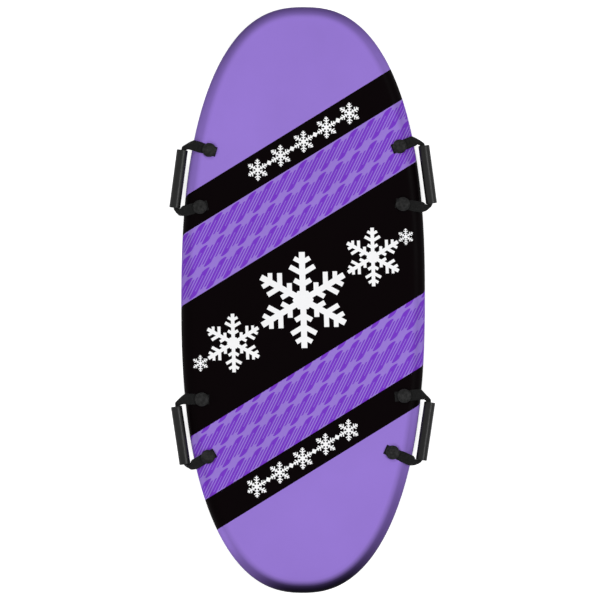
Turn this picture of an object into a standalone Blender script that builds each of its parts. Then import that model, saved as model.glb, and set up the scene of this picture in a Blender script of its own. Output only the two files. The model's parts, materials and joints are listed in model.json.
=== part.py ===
"""A foam snow board with a printed deck, a slick base and four webbing handles with tube grips.

Metres. X runs across the board, +Y towards the nose, +Z up. The origin lies on the ground under the
middle of the base. Each handle is laid out in a frame of its own on its hinge line: +X points out
over the rail, +Y along the rail, and +Z up from the middle of the webbing's thickness.
"""

import math

import bmesh
import bpy
import numpy as np
from mathutils import Matrix, Vector

# Board
BOARD_LENGTH = 1.000
BOARD_WIDTH = 0.417
BOARD_THICKNESS = 0.045
NOSE_SQUARENESS = 2.44  # exponent of the superellipse: 2 is an ellipse
TAIL_SQUARENESS = 2.36
DECK_RAIL_RADIUS = 0.022
BASE_RAIL_RADIUS = 0.014
TIP_LIFT = 0.030  # how far the nose and the tail curve up
TIP_CURVE_LENGTH = 0.210  # measured back from each tip
DECK_SKIN_THICKNESS = 0.0025
BASE_SKIN_THICKNESS = 0.0012
GAP = 0.0003  # between pieces that touch

# Handles: name, side of the board, distance in from the rail's edge to the middle of the hole pair,
# how far the line through the holes turns from the rail's line, and how far the grip has slid along
# the rail towards the tail
HANDLES = (
    ("front_left", -1, 0.0291, math.radians(-1.8), 0.0064),
    ("front_right", 1, 0.0300, math.radians(-4.4), 0.0046),
    ("rear_left", -1, 0.0278, math.radians(-2.4), 0.0064),
    ("rear_right", 1, 0.0326, math.radians(-3.2), 0.0051),
)
# Their places along the rail, as shares of the way from the board's middle to where the tip curves
# begin, positive towards the nose
HANDLE_PLACE_SHARES = {
    "front_left": 0.727,
    "front_right": 0.750,
    "rear_left": -0.770,
    "rear_right": -0.746,
}
HOLE_SPACING = 0.0986
HINGE_INSET = 0.0082  # from the rail's edge in to the line where the webbing bends

# Webbing
STRAP_WIDTH = 0.019
STRAP_THICKNESS = 0.0020
STRAP_END_REACH = 0.0115  # square end past the button's centre
CURL_RADIUS = 0.0043  # middle of the webbing where it is rolled up inside the grip
FLAT_CURL = math.radians(1)
TURN_START_CURL = math.radians(160)  # how far the webbing has rolled up where it starts to turn
CURL_START_SHARE = 0.3  # of the way from the hinge to the turn
CURL_END_SHARE = 0.5  # of the turn into the grip
MOUTH_SLACK = 0.0012  # straight webbing between the grip's end and the turn
HINGE_SWING = math.radians(135)

# Grip
GRIP_LENGTH = 0.100
GRIP_DIAMETER = 0.0190
GRIP_WALL = 0.0024
GRIP_EDGE_ROUND = 0.0008
GRIP_STRAP_PLAY = 0.0004
FINGER_GAP = 0.0055  # from the rail's edge to the grip, seen from above
GRIP_DROP = 0.010  # grip's axis below the webbing on the deck

# Button fasteners: a domed cap whose stem is pressed into a flanged plug from below
CAP_DIAMETER = 0.024
CAP_EDGE_HEIGHT = 0.0014
CAP_DOME_HEIGHT = 0.0026
CAP_STEM_DIAMETER = 0.008
CAP_STEM_LENGTH = 0.026
STEM_TIP_BEVEL = 0.0008
PLUG_WALL = 0.0015
PLUG_FLANGE_DIAMETER = 0.028
PLUG_FLANGE_THICKNESS = 0.0016
PLUG_RECESS = 0.0003  # flange above the running surface
PLUG_BORE_END = 0.003  # solid bottom under the bore
CUT_OVERRUN = 0.005

# Mesh fineness
QUADRANT_STEPS = 14
TIP_CROWDING = 1.25  # above 1 draws the outline's points together at the nose and the tail
DECK_RINGS = 5
DECK_RAIL_STEPS = 4
BASE_RAIL_STEPS = 3
ROUND_STEPS = 16
GRIP_STEPS = 24
DOME_STEPS = 3
STRAP_ACROSS_STEPS = 6
STRAP_LEG_STEPS = 4
STRAP_TURN_STEPS = 5
HINGE_ROUND_STEPS = 2
HINGE_ROUND_TURN = math.radians(60)  # how far the loop's end is rounded over the hinge line
SMOOTH_ANGLE = math.radians(35)

MIDDLE_WEB = BOARD_THICKNESS + GAP + STRAP_THICKNESS / 2  # height of the webbing's middle on the deck
FULL_CURL = STRAP_WIDTH / CURL_RADIUS
GRIP_BORE = GRIP_DIAMETER / 2 - GRIP_WALL
# The rolled webbing lies this far off the middle of the bore, towards the rail
GRIP_LEAN = GRIP_BORE - GRIP_STRAP_PLAY - CURL_RADIUS - STRAP_THICKNESS / 2

for old in list(bpy.data.objects):
    bpy.data.objects.remove(old)

parts = bpy.data.collections.new("snow_surfer")
cutters = bpy.data.collections.new("cutters")
bpy.context.scene.collection.children.link(parts)
bpy.context.scene.collection.children.link(cutters)


def material(name, colour, roughness, metallic=0.0):
    """A Principled material of one colour."""
    made = bpy.data.materials.new(name)
    made.use_nodes = True
    shader = made.node_tree.nodes["Principled BSDF"]
    shader.inputs["Base Color"].default_value = (*colour, 1.0)
    shader.inputs["Roughness"].default_value = roughness
    shader.inputs["Metallic"].default_value = metallic
    return made


PRINTED_SKIN = material("printed_purple_skin", (0.305, 0.188, 0.645), 0.45)
CLOSED_CELL_FOAM = material("closed_cell_foam", (0.62, 0.62, 0.64), 0.9)
SLICK_SHEET = material("slick_black_sheet", (0.012, 0.012, 0.013), 0.3)
WEBBING = material("black_webbing", (0.013, 0.013, 0.013), 0.85)
GRIP_PLASTIC = material("dark_grey_grip", (0.026, 0.026, 0.026), 0.45)
BUTTON_PLASTIC = material("black_button_plastic", (0.021, 0.021, 0.021), 0.5)


def add_object(name, mesh, finish):
    """Puts a mesh in the parts collection under one name, with one material, shaded smooth."""
    mesh.name = name
    mesh.materials.append(finish)
    mesh.shade_smooth()
    mesh.set_sharp_from_angle(angle=SMOOTH_ANGLE)
    made = bpy.data.objects.new(name, mesh)
    parts.objects.link(made)
    return made


def loft(name, rings, finish):
    """Joins closed rings of equal point count with quads, and closes the first and last ring flat."""
    count = len(rings[0])
    points = [tuple(point) for ring in rings for point in ring]
    faces = []
    for index in range(len(rings) - 1):
        start = index * count
        for step in range(count):
            after = (step + 1) % count
            faces.append((start + step, start + after, start + count + after, start + count + step))
    faces.append(tuple(reversed(range(count))))
    faces.append(tuple(range(len(points) - count, len(points))))
    mesh = bpy.data.meshes.new(name)
    mesh.from_pydata(points, [], faces)
    shape = bmesh.new()
    shape.from_mesh(mesh)
    bmesh.ops.recalc_face_normals(shape, faces=shape.faces)
    shape.to_mesh(mesh)
    shape.free()
    return add_object(name, mesh, finish)


def turned(name, profile, steps, finish, closed=False):
    """Turns a profile of (radius, height) pairs about Z. It runs from the top down its outer side."""
    mesh = bpy.data.meshes.new(name)
    points = [(radius, 0.0, height) for radius, height in profile]
    edges = [(index, index + 1) for index in range(len(points) - 1)]
    if closed:
        edges.append((len(points) - 1, 0))
    mesh.from_pydata(points, edges, [])
    made = add_object(name, mesh, finish)
    screw = made.modifiers.new("turn", "SCREW")
    screw.steps = steps
    screw.render_steps = steps
    screw.use_merge_vertices = True
    screw.merge_threshold = GAP / 10
    screw.use_smooth_shade = True
    return made


def cut_with(target, cutter):
    """Takes a cutter's shape out of a part."""
    boolean = target.modifiers.new("cut_" + cutter.name, "BOOLEAN")
    boolean.operation = "DIFFERENCE"
    boolean.solver = "EXACT"
    boolean.object = cutter


def drill(name, places, radius, low, high):
    """One cutter of upright round bars, one at each place, from one height to another."""
    shape = bmesh.new()
    for place in places:
        middle = Vector((place.x, place.y, (low + high) / 2))
        bmesh.ops.create_cone(
            shape, cap_ends=True, segments=ROUND_STEPS, radius1=radius, radius2=radius,
            depth=high - low, matrix=Matrix.Translation(middle),
        )
    mesh = bpy.data.meshes.new(name)
    shape.to_mesh(mesh)
    shape.free()
    made = bpy.data.objects.new(name, mesh)
    made.hide_render = True
    made.display_type = "WIRE"
    cutters.objects.link(made)
    return made


def squareness(towards_nose):
    """The superellipse exponent of the board's half towards the nose or towards the tail."""
    return NOSE_SQUARENESS if towards_nose else TAIL_SQUARENESS


def outline(inset, share=1.0):
    """The board's outline drawn in by an inset and then shrunk to a share of itself.

    Each point is (a cos^(2/n) t, b sin^(2/n) t), with a and b the half width and half length, and t
    stepped so that the points crowd together towards the nose and the tail.
    """
    steps = np.arange(4 * QUADRANT_STEPS)
    along = steps % QUADRANT_STEPS / QUADRANT_STEPS
    quadrant = steps // QUADRANT_STEPS
    rising = quadrant % 2 == 0
    to_tip = np.where(rising, 1 - along, along)
    turn = math.pi / 2 * (1 - to_tip**TIP_CROWDING)
    exponent = np.where(quadrant < 2, 2 / NOSE_SQUARENESS, 2 / TAIL_SQUARENESS)
    side = np.where((quadrant == 0) | (quadrant == 3), 1, -1)
    end = np.where(quadrant < 2, 1, -1)
    x = side * (BOARD_WIDTH / 2 - inset) * np.cos(turn).clip(0) ** exponent
    y = end * (BOARD_LENGTH / 2 - inset) * np.sin(turn).clip(0) ** exponent
    return share * x, share * y


def tip_curve(y):
    """Height that the nose and the tail are bent up at y: zero in the middle, then a parabola."""
    past = np.abs(y) - (BOARD_LENGTH / 2 - TIP_CURVE_LENGTH)
    return TIP_LIFT * (past.clip(0) / TIP_CURVE_LENGTH) ** 2


def ring(inset, height, share=1.0):
    """One closed ring of points round the board."""
    x, y = outline(inset, share)
    return np.column_stack((x, y, height + tip_curve(y)))


def flat_rings(rail_radius, height):
    """Rings from the edge of the flat inwards, the last one inside the stretch with no tip curve."""
    half_length = BOARD_LENGTH / 2 - rail_radius
    inner_share = (BOARD_LENGTH / 2 - TIP_CURVE_LENGTH) / half_length
    shares = np.linspace(1.0, inner_share, DECK_RINGS)
    return [ring(rail_radius, height, share) for share in shares]


def deck_rings(depth, low):
    """A surface at a depth under the deck: up the side from a height, round the rail, to the middle."""
    radius = DECK_RAIL_RADIUS - depth
    turns = np.linspace(math.pi / 2, 0.0, DECK_RAIL_STEPS + 1)[:-1]
    rail = [
        ring(DECK_RAIL_RADIUS - radius * math.sin(turn),
             BOARD_THICKNESS - DECK_RAIL_RADIUS + radius * math.cos(turn))
        for turn in turns
    ]
    return [ring(depth, low)] + rail + flat_rings(DECK_RAIL_RADIUS, BOARD_THICKNESS - depth)


def base_rings(depth):
    """A surface at a depth inside the base: from the side, round the rail, to the middle."""
    radius = BASE_RAIL_RADIUS - depth
    turns = np.linspace(math.pi / 2, 0.0, BASE_RAIL_STEPS + 1)[:-1]
    rail = [
        ring(BASE_RAIL_RADIUS - radius * math.sin(turn), BASE_RAIL_RADIUS - radius * math.cos(turn))
        for turn in turns
    ]
    return rail + flat_rings(BASE_RAIL_RADIUS, depth)


def make_board(places):
    """The foam core between the printed deck skin and the slick base sheet, drilled for the plugs."""
    seam = BASE_RAIL_RADIUS
    deck_skin = loft(
        "deck_skin",
        list(reversed(deck_rings(0.0, seam + GAP))) + deck_rings(DECK_SKIN_THICKNESS, seam + GAP),
        PRINTED_SKIN,
    )
    slick_base = loft(
        "slick_base",
        list(reversed(base_rings(BASE_SKIN_THICKNESS))) + base_rings(0.0),
        SLICK_SHEET,
    )
    foam_core = loft(
        "foam_core",
        list(reversed(base_rings(BASE_SKIN_THICKNESS + GAP)))
        + deck_rings(DECK_SKIN_THICKNESS + GAP, seam),
        CLOSED_CELL_FOAM,
    )
    barrel = CAP_STEM_DIAMETER / 2 + GAP + PLUG_WALL
    flange = PLUG_FLANGE_DIAMETER / 2
    barrel_holes = drill(
        "barrel_holes", places, barrel + GAP, -CUT_OVERRUN, BOARD_THICKNESS + CUT_OVERRUN)
    flange_pockets = drill(
        "flange_pockets", places, flange + GAP, -CUT_OVERRUN,
        PLUG_RECESS + PLUG_FLANGE_THICKNESS + GAP)
    cut_with(deck_skin, barrel_holes)
    cut_with(foam_core, barrel_holes)
    cut_with(foam_core, flange_pockets)
    cut_with(slick_base, flange_pockets)


def make_cap(name, place):
    """A domed button: a thin rim, a shallow dome, and a stem down through webbing, skin and foam."""
    seat = BOARD_THICKNESS + GAP + STRAP_THICKNESS + GAP
    rim = CAP_DIAMETER / 2
    stem = CAP_STEM_DIAMETER / 2
    turns = np.linspace(math.pi / 2, 0.0, DOME_STEPS + 1)
    profile = [
        (rim * math.cos(turn), CAP_EDGE_HEIGHT + CAP_DOME_HEIGHT * math.sin(turn)) for turn in turns
    ]
    profile[0] = (0.0, CAP_EDGE_HEIGHT + CAP_DOME_HEIGHT)
    profile += [
        (rim, 0.0),
        (stem, 0.0),
        (stem, STEM_TIP_BEVEL - CAP_STEM_LENGTH),
        (stem - STEM_TIP_BEVEL, -CAP_STEM_LENGTH),
        (0.0, -CAP_STEM_LENGTH),
    ]
    cap = turned(name, profile, ROUND_STEPS, BUTTON_PLASTIC)
    cap.location = (place.x, place.y, seat)


def make_plug(name, place):
    """A flanged plug in the base whose barrel reaches up to the deck and holds the cap's stem."""
    bore = CAP_STEM_DIAMETER / 2 + GAP
    barrel = bore + PLUG_WALL
    flange = PLUG_FLANGE_DIAMETER / 2
    top = BOARD_THICKNESS - GAP - PLUG_RECESS
    profile = [
        (0.0, PLUG_BORE_END),
        (bore, PLUG_BORE_END),
        (bore, top),
        (barrel, top),
        (barrel, PLUG_FLANGE_THICKNESS),
        (flange, PLUG_FLANGE_THICKNESS),
        (flange, 0.0),
        (0.0, 0.0),
    ]
    plug = turned(name, profile, ROUND_STEPS, BUTTON_PLASTIC)
    plug.location = (place.x, place.y, PLUG_RECESS)


def rail_frame(side, along):
    """The rail's point, its outward direction's angle and that direction, at a place along the board."""
    half_width = BOARD_WIDTH / 2
    half_length = BOARD_LENGTH / 2
    n = squareness(along > 0)
    y_part = abs(along) / half_length
    x_part = (1 - y_part**n) ** (1 / n)
    outward = Vector((
        side * x_part ** (n - 1) / half_width,
        math.copysign(y_part ** (n - 1) / half_length, along),
    )).normalized()
    return Vector((side * half_width * x_part, along)), math.atan2(outward.y, outward.x), outward


def roll_half_width(curl):
    """Half the width of the webbing, rolled up by an angle, with its thickness."""
    return (STRAP_WIDTH / curl + STRAP_THICKNESS / 2) * math.sin(min(curl, math.pi) / 2)


def leg_angle(hole, pivot, side_sign):
    """The angle of one strap leg, seen from above in the handle's frame, drawn as a leg towards +Y.

    The leg's middle leaves its hole on a straight line and passes the pivot at half a roll's width.
    """
    reach = pivot - Vector((hole.x, side_sign * hole.y))
    clearance = roll_half_width(TURN_START_CURL) + GAP
    return math.atan2(reach.y, reach.x) + math.asin(clearance / reach.length)


def band(middle, across, up, curl, thickness):
    """One closed section of webbing: a band of full width, rolled down about its crown by an angle.

    The crown's middle is given. A point at the angle q from the crown lies r sin q across and
    r (1 - cos q) down, with r the width over the curl, half a thickness in or out.
    """
    radius = STRAP_WIDTH / curl
    q = np.linspace(-curl / 2, curl / 2, STRAP_ACROSS_STEPS + 1)[:, None]
    across = np.array(across)
    up = np.array(up)
    line = np.array(middle) + radius * np.sin(q) * across - radius * (1 - np.cos(q)) * up
    out = thickness / 2 * (np.sin(q) * across + np.cos(q) * up)
    return np.vstack((line + out, (line - out)[::-1]))


def leg_sections(hole, pivot, side_sign):
    """Sections of one leg of a loop, from the hinge line to the end of its turn into the grip.

    The leg lies flat at the hinge, rolls up on its way to the grip and turns about a pivot at the
    inner edge of the grip's mouth. By the end of the turn it has dropped to the grip's height.
    """
    angle = leg_angle(hole, pivot, side_sign)
    half = STRAP_THICKNESS / 2
    hinge = Vector((0.0, side_sign * hole.y - hole.x * math.tan(angle)))
    leaving = Vector((math.cos(angle), math.sin(angle)))
    turn = math.pi / 2 + angle
    clearance = roll_half_width(TURN_START_CURL) + GAP
    turn_start = pivot + clearance * Vector((-math.sin(angle), math.cos(angle)))
    straight = (turn_start - hinge).length
    whole_run = straight + clearance * turn
    crown_drop = GRIP_DROP - CURL_RADIUS

    sections = []
    for step in range(HINGE_ROUND_STEPS, 0, -1):
        q = HINGE_ROUND_TURN * step / HINGE_ROUND_STEPS
        back = hinge - half / math.cos(angle) * math.sin(q) * leaving
        sections.append(band(
            (back.x, side_sign * back.y, 0.0), (0.0, side_sign / math.cos(angle), 0.0),
            (0.0, 0.0, 1.0), FLAT_CURL, STRAP_THICKNESS * math.cos(q)))

    stations = []
    for step in range(STRAP_LEG_STEPS):
        share = step / STRAP_LEG_STEPS
        rolled = max(0.0, share - CURL_START_SHARE) / (1 - CURL_START_SHARE)
        curl = FLAT_CURL + (TURN_START_CURL - FLAT_CURL) * rolled**2
        sloped = share * leaving.orthogonal() + (1 - share) * Vector((0.0, 1 / leaving.x))
        stations.append((hinge + share * straight * leaving, angle, sloped, curl, share * straight))
    for step in range(STRAP_TURN_STEPS + 1):
        share = step / STRAP_TURN_STEPS
        heading = angle - share * turn
        left = 1 - min(1.0, share / CURL_END_SHARE)
        curl = FULL_CURL - (FULL_CURL - TURN_START_CURL) * left**2
        across = Vector((-math.sin(heading), math.cos(heading)))
        place = pivot + (roll_half_width(curl) + GAP) * across
        stations.append((place, heading, across, curl, straight + share * clearance * turn))
    for place, heading, across, curl, run in stations:
        way = run / whole_run
        slope = math.atan(6 * way * (1 - way) * crown_drop / whole_run)
        drop = crown_drop * way * way * (3 - 2 * way)
        sections.append(band(
            (place.x, side_sign * place.y, -drop), (across.x, side_sign * across.y, 0.0),
            (math.cos(heading) * math.sin(slope), side_sign * math.sin(heading) * math.sin(slope),
             math.cos(slope)),
            curl, STRAP_THICKNESS))
    return sections


def make_strap_end(name, hole, angle, side_sign, frame):
    """The clamped end of a strap: from its square end, under the button, to just short of the hinge.

    Its outer end slopes back towards the top, so that the loop can swing inwards over it.
    """
    half = STRAP_THICKNESS / 2
    bottom_back = half + GAP
    top_back = half / math.tan((math.pi - HINGE_SWING) / 2) + GAP
    leaving = Vector((math.cos(angle), side_sign * math.sin(angle)))
    square = Vector((-leaving.y, leaving.x)) * STRAP_WIDTH / 2
    inner = hole - STRAP_END_REACH * leaving
    sloped = Vector((0.0, STRAP_WIDTH / 2 / math.cos(angle)))
    top_outer = hole + (-top_back - hole.x) / leaving.x * leaving
    bottom_outer = hole + (-bottom_back - hole.x) / leaving.x * leaving
    rings = []
    for top, bottom, across in ((inner, inner, square), (top_outer, bottom_outer, sloped)):
        rings.append([
            (*(top + across), half), (*(top - across), half),
            (*(bottom - across), -half), (*(bottom + across), -half),
        ])
    strap_end = loft(name, rings, WEBBING)
    strap_end.matrix_world = frame
    place = frame @ Vector((hole.x, hole.y, 0.0))
    cut_with(strap_end, drill(
        name + "_hole", [place], CAP_STEM_DIAMETER / 2 + GAP,
        place.z - half - CUT_OVERRUN, place.z + half + CUT_OVERRUN))


def make_grip(name, hinge, place):
    """The round tube that the strap runs through, turned about its own axis along the rail."""
    outer = GRIP_DIAMETER / 2
    end = GRIP_LENGTH / 2
    edge = GRIP_EDGE_ROUND
    profile = [
        (GRIP_BORE, -end), (GRIP_BORE, end), (outer - edge, end), (outer, end - edge),
        (outer, edge - end), (outer - edge, -end),
    ]
    grip = turned(name, profile, GRIP_STEPS, GRIP_PLASTIC, closed=True)
    grip.parent = hinge
    grip.location = place
    grip.rotation_euler = (-math.pi / 2, 0.0, 0.0)


def make_handle(name, side, hole_inset, skew, slip):
    """One handle on its hinge line: two clamped strap ends, the loop, the grip and the fasteners.

    Returns the places of its two holes on the deck.
    """
    along = HANDLE_PLACE_SHARES[name] * (BOARD_LENGTH / 2 - TIP_CURVE_LENGTH)
    rail, heading, outward = rail_frame(side, along)
    grip = Vector((HINGE_INSET + FINGER_GAP + GRIP_DIAMETER / 2, -side * slip, -GRIP_DROP))
    origin = rail - HINGE_INSET * outward
    hinge = bpy.data.objects.new(name + "_hinge", None)
    hinge.location = (origin.x, origin.y, MIDDLE_WEB)
    hinge.rotation_euler = (0.0, 0.0, heading)
    parts.objects.link(hinge)
    frame = Matrix.Translation(hinge.location) @ Matrix.Rotation(heading, 4, "Z")

    legs = []
    places = []
    for side_sign in (-1, 1):
        end_name = name + ("_outer" if side_sign * side * along > 0 else "_inner")
        pivot = Vector((
            grip.x - GRIP_LEAN - roll_half_width(FULL_CURL) - GAP,
            GRIP_LENGTH / 2 + MOUTH_SLACK + side_sign * grip.y,
        ))
        hole = Vector((
            HINGE_INSET - hole_inset - side_sign * HOLE_SPACING / 2 * math.sin(skew),
            side_sign * HOLE_SPACING / 2 * math.cos(skew),
        ))
        legs.append(leg_sections(hole, pivot, side_sign))
        angle = leg_angle(hole, pivot, side_sign)
        make_strap_end(end_name + "_strap_end", hole, angle, side_sign, frame)
        place = frame @ Vector((hole.x, hole.y, 0.0))
        places.append(place)
        make_cap(end_name + "_cap", place)
        make_plug(end_name + "_plug", place)

    loop = loft(name + "_strap_loop", legs[0] + list(reversed(legs[1])), WEBBING)
    loop.parent = hinge
    make_grip(name + "_grip", hinge, grip)
    return places


hole_places = []
for handle in HANDLES:
    hole_places += make_handle(*handle)
make_board(hole_places)
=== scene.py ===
"""A foam snow board with a printed deck, a slick base and four webbing handles with tube grips.

Metres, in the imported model's frame: X runs across the board, +Y towards the nose, +Z up from the
ground. The sections follow the board as it is put together, from the foam core out to the grips.
"""

import json
import math

import bmesh
import bpy
import numpy as np
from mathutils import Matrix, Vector


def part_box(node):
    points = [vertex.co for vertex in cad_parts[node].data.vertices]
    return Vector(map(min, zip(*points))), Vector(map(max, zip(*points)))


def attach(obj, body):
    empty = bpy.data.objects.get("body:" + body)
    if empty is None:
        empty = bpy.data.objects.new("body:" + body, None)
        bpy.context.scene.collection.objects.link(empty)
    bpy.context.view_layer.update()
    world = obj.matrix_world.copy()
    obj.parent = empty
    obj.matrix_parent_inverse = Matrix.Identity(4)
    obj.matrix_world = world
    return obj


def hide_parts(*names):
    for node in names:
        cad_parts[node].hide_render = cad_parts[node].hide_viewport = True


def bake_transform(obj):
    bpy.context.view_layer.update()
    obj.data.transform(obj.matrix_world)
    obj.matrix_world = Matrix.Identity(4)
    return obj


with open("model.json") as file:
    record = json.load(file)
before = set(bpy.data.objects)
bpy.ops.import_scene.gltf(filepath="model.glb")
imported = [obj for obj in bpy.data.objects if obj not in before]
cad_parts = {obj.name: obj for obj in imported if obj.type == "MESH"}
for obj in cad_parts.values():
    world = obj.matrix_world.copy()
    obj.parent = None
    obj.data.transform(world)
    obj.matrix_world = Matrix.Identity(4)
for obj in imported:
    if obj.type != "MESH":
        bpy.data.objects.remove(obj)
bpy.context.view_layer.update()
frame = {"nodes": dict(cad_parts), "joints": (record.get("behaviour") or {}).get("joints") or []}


# Foam core: a slab of closed-cell polyethylene foam, moulded with the nose and the tail bent up. It
# is the board's body, and the deck skin and the base sheet are welded to it by heat. Only a hairline
# of it shows at the seam.
FOAM_COLOUR = (0.62, 0.62, 0.64, 1.0)
FOAM_SHADOW_COLOUR = (0.50, 0.50, 0.53, 1.0)
FOAM_CELLS_PER_METRE = 900.0
FOAM_CELL_DEPTH = 0.0002


def feed(node, inputs):
    """Gives each input of a node a value, or links a socket to it."""
    for key, value in inputs.items():
        if isinstance(value, bpy.types.NodeSocket):
            node.id_data.links.new(value, node.inputs[key])
        else:
            node.inputs[key].default_value = value


def add_node(tree, kind, inputs=None, **settings):
    """Adds a node, sets its properties and feeds its inputs."""
    made = tree.nodes.new(kind)
    for key, value in settings.items():
        setattr(made, key, value)
    feed(made, inputs or {})
    return made


def start_material(name, roughness, specular):
    """A material with one Principled shader; returns the material, its node tree and the shader."""
    made = bpy.data.materials.new(name)
    made.use_nodes = True
    shader = made.node_tree.nodes["Principled BSDF"]
    feed(shader, {"Roughness": roughness, "Specular IOR Level": specular})
    return made, made.node_tree, shader


def add_bump(tree, shader, height, distance):
    """Raises the surface by a height from 0 to 1, times a distance, in the shader's normal."""
    bump = add_node(tree, "ShaderNodeBump", {"Height": height, "Distance": distance, "Strength": 1.0})
    feed(shader, {"Normal": bump.outputs["Normal"]})


def mix_colour(tree, amount, first, second, blend_type="MIX"):
    """The first colour at the amount 0, and at 1 the second, or what it blends to with the first."""
    mix = add_node(tree, "ShaderNodeMix", {0: amount, 6: first, 7: second}, data_type="RGBA",
                   blend_type=blend_type)
    return mix.outputs[2]


foam_finish, tree, shader = start_material("closed_cell_foam", roughness=0.9, specular=0.2)
place = add_node(tree, "ShaderNodeTexCoord").outputs["Object"]
cells = add_node(tree, "ShaderNodeTexVoronoi", {
    "Vector": place, "Scale": FOAM_CELLS_PER_METRE}).outputs["Distance"]
feed(shader, {"Base Color": mix_colour(tree, cells, FOAM_COLOUR, FOAM_SHADOW_COLOUR)})
add_bump(tree, shader, cells, FOAM_CELL_DEPTH)
core = frame["nodes"]["foam_core"]
core.data.materials.clear()
core.data.materials.append(foam_finish)


# Deck skin: a sheet of dense printed foam, 2.5 mm thick, drawn over the core and round its rail down
# to the seam. The print shows three black bands with white snow crystals, two bands of slanted
# strokes between them, and plain purple ends. Shade is painted into its colour along the rail,
# darkest at the tail and dark at the nose, and painted light makes the very edge of the sides paler.
BOARD_LENGTH = 1.000
BOARD_WIDTH = 0.417
BOARD_THICKNESS = 0.045
NOSE_SQUARENESS = 2.44  # exponent of the superellipse: 2 is an ellipse
TAIL_SQUARENESS = 2.36
DECK_RAIL_RADIUS = 0.022
TIP_LIFT = 0.030
TIP_CURVE_LENGTH = 0.210
DECK_SKIN_THICKNESS = 0.0025
SEAM_HEIGHT = 0.0143
LIP_ROUND = 0.0008
LIP_STEPS = 4
QUADRANT_STEPS = 120
DENSE_STEPS = 20000
HALVINGS = 40
DECK_ARC_STEPS = 16
DECK_WALL_STEPS = 3
DECK_FLAT_STEPS = 30
DECK_INNER_ARC_STEPS = 8
DECK_INNER_FLAT_STEPS = 15
BARREL_HOLE_RADIUS = 0.0061
HOLE_STEPS = 48
CUT_OVERRUN = 0.004
SHARP_ANGLE = math.radians(35)

BAND_SLOPE = math.radians(31.8)
CENTRAL_BAND = (-0.0978, 0.1001)  # across the bands, from edge to edge
NARROW_BAND_INNER = 0.2029
NARROW_BAND_OUTER = 0.2569
LIGHT_PURPLE = (0.305, 0.188, 0.645, 1.0)
DARK_PURPLE = (0.181, 0.042, 0.552, 1.0)
PRINT_BLACK = (0.0016, 0.0006, 0.0009, 1.0)
PRINT_WHITE = (0.93, 0.93, 0.94, 1.0)
TAIL_PAINTED_SHADE_DIRECTION = math.radians(-78)  # the rail facing this way gets the darkest painted shade
PRINT_TURN = math.radians(60)  # how far the rail has turned down where the print starts to follow it


def quadrant(squareness):
    """Points (cos^(2/n) t, sin^(2/n) t) of a unit superellipse, from the side to the tip.

    The values of t are picked so that the points lie evenly along the board's real outline: the
    curve's length is summed over a dense run of t and read back at even steps.
    """
    dense = np.linspace(0.0, math.pi / 2, DENSE_STEPS + 1)
    x = np.cos(dense).clip(0) ** (2 / squareness)
    y = np.sin(dense) ** (2 / squareness)
    lengths = np.hypot(np.diff(x) * BOARD_WIDTH / 2, np.diff(y) * BOARD_LENGTH / 2)
    run = np.concatenate(([0.0], np.cumsum(lengths)))
    t = np.interp(np.linspace(0.0, run[-1], QUADRANT_STEPS + 1), run, dense)
    return np.cos(t).clip(0) ** (2 / squareness), np.sin(t) ** (2 / squareness)


nose_x, nose_y = quadrant(NOSE_SQUARENESS)
tail_x, tail_y = quadrant(TAIL_SQUARENESS)
unit_x = np.concatenate((nose_x[:-1], -nose_x[:0:-1], -tail_x[:-1], tail_x[:0:-1]))
unit_y = np.concatenate((nose_y[:-1], nose_y[:0:-1], -tail_y[:-1], -tail_y[:0:-1]))


def tip_curve(y):
    """Height that the nose and the tail are bent up at y: zero in the middle, then a parabola."""
    past = np.abs(y) - (BOARD_LENGTH / 2 - TIP_CURVE_LENGTH)
    return TIP_LIFT * (past.clip(0) / TIP_CURVE_LENGTH) ** 2


def make_piece(name, points, faces):
    """One mesh object from points and faces, with its faces turned outwards and shaded smooth."""
    mesh = bpy.data.meshes.new(name)
    mesh.from_pydata(points, [], faces)
    shape = bmesh.new()
    shape.from_mesh(mesh)
    bmesh.ops.recalc_face_normals(shape, faces=shape.faces)
    shape.to_mesh(mesh)
    shape.free()
    mesh.shade_smooth()
    mesh.set_sharp_from_angle(angle=SHARP_ANGLE)
    made = bpy.data.objects.new(name, mesh)
    bpy.context.scene.collection.objects.link(made)
    return made


def grid_faces(rows, columns, start=0):
    """Quads of a grid of rows whose columns close on themselves, its first point numbered start."""
    row = np.arange(rows - 1)[:, None] * columns
    column = np.arange(columns)[None, :]
    after = (column + 1) % columns
    corners = (row + column, row + after, row + columns + after, row + columns + column)
    return (start + np.stack(corners, axis=-1)).reshape(-1, 4).tolist()


def pole_faces(pole, ring_start, columns):
    """Triangles that close a ring on one point."""
    column = np.arange(columns)
    after = (column + 1) % columns
    corners = (np.full(columns, pole), ring_start + column, ring_start + after)
    return np.stack(corners, axis=-1).tolist()


def closed_rings(name, first, rings, last):
    """A piece from an array of ring, step, xyz, closed by one point before it and one after it."""
    rows, columns = rings.shape[:2]
    points = np.vstack((first, rings.reshape(-1, 3), last))
    faces = grid_faces(rows, columns, 1)
    faces += pole_faces(0, 1, columns)
    faces += pole_faces(len(points) - 1, 1 + (rows - 1) * columns, columns)
    return make_piece(name, points.tolist(), faces)


def board_shell(name, profile):
    """A profile of (inset, height, share) carried round the board's outline, closed by two poles.

    Point j of station k lies at x = share (a - inset) u_j, y = share (b - inset) v_j and
    z = height + tip curve at y, with a and b the half width and half length and (u, v) the unit
    superellipse. The first and the last station, with share 0, are one point each.
    """
    inset, height, share = np.array(profile[1:-1]).T[:, :, None]
    x = share * (BOARD_WIDTH / 2 - inset) * unit_x
    y = share * (BOARD_LENGTH / 2 - inset) * unit_y
    rings = np.stack((x, y, height + tip_curve(y)), axis=-1)
    return closed_rings(name, (0.0, 0.0, profile[0][1]), rings, (0.0, 0.0, profile[-1][1]))


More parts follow.
